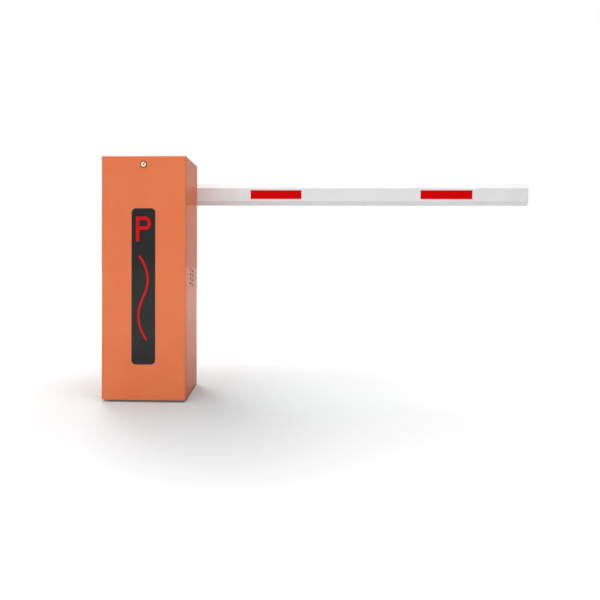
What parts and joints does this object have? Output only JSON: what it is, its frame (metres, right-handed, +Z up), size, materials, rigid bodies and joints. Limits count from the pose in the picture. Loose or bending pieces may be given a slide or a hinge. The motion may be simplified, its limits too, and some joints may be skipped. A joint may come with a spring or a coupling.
{
  "type": "barrier gate",
  "caption": "Vehicle barrier gate: sheet steel cabinet with a lit display in its front door, inner drive, and a level boom on a shaft at the back that rises upright.",
  "frame": {"origin": "on the ground, at the centre of the cabinet's outline", "axes": "+X along the lowered boom, +Y from the front door to the back, +Z up"},
  "size_m": [1.8725, 0.389, 1.005],
  "materials": {
    "orange_paint": "glossy polyester powder coat",
    "dark_steel": "black painted steel",
    "zinc_steel": "zinc plated",
    "cast_aluminium": "sand cast, satin",
    "motor_paint": "satin machine paint",
    "boom_paint": "white powder coat on aluminium",
    "red_film": "reflective film",
    "dark_pane": "dark smoked acrylic",
    "red_light": "lit light guide",
    "black_plastic": "moulded",
    "white_plastic": "moulded",
    "grey_plastic": "moulded",
    "chrome": "polished",
    "spring_steel": "oiled"
  },
  "bodies": {
    "cabinet": {"base_plate": "dark_steel", "left_side": "orange_paint", "right_side": "orange_paint", "back_panel": "orange_paint", "top_cover": "orange_paint", "front_rail": "orange_paint", "left_hinge_bracket": "zinc_steel", "right_hinge_bracket": "zinc_steel", "left_upright": "zinc_steel", "right_upright": "zinc_steel", "drive_plate": "zinc_steel", "gearbox": "cast_aluminium", "gearbox_cover": "cast_aluminium", "motor": "motor_paint", "motor_cap": "black_plastic", "shaft_bearing": "cast_aluminium", "balance_spring": "spring_steel", "control_panel": "zinc_steel", "control_unit": "grey_plastic", "mounting_rail": "zinc_steel", "circuit_breaker": "grey_plastic", "terminal_strip": "grey_plastic", "shaft_seal": "black_plastic"},
    "door": {"door_panel": "orange_paint", "left_door_lug": "zinc_steel", "right_door_lug": "zinc_steel", "display_box": "black_plastic", "display_pane": "dark_pane", "display_letter": "red_light", "display_wave": "red_light", "lock_ring": "black_plastic", "lock_barrel": "chrome", "lock_nut": "zinc_steel", "lock_cam": "zinc_steel", "door_stiffeners": "orange_paint"},
    "boom": {"main_shaft": "zinc_steel", "spring_cup": "zinc_steel", "boom_hub": "dark_steel", "boom_holder": "dark_steel", "clamp_plate": "dark_steel", "boom_tube": "boom_paint", "root_cap": "white_plastic", "tip_cap": "white_plastic", "front_stripes": "red_film", "back_stripes": "red_film"}
  },
  "joints": [
    {"name": "boom_lift", "type": "hinge", "parent": "cabinet", "child": "boom", "pos_m": [0, 0.19, 0.88], "axis": [0, -1, 0], "range_deg": [0, 90]},
    {"name": "door_tilt", "type": "hinge", "parent": "cabinet", "child": "door", "pos_m": [0, -0.1275, 0.019], "axis": [1, 0, 0], "range_deg": [0, 75]}
  ]
}
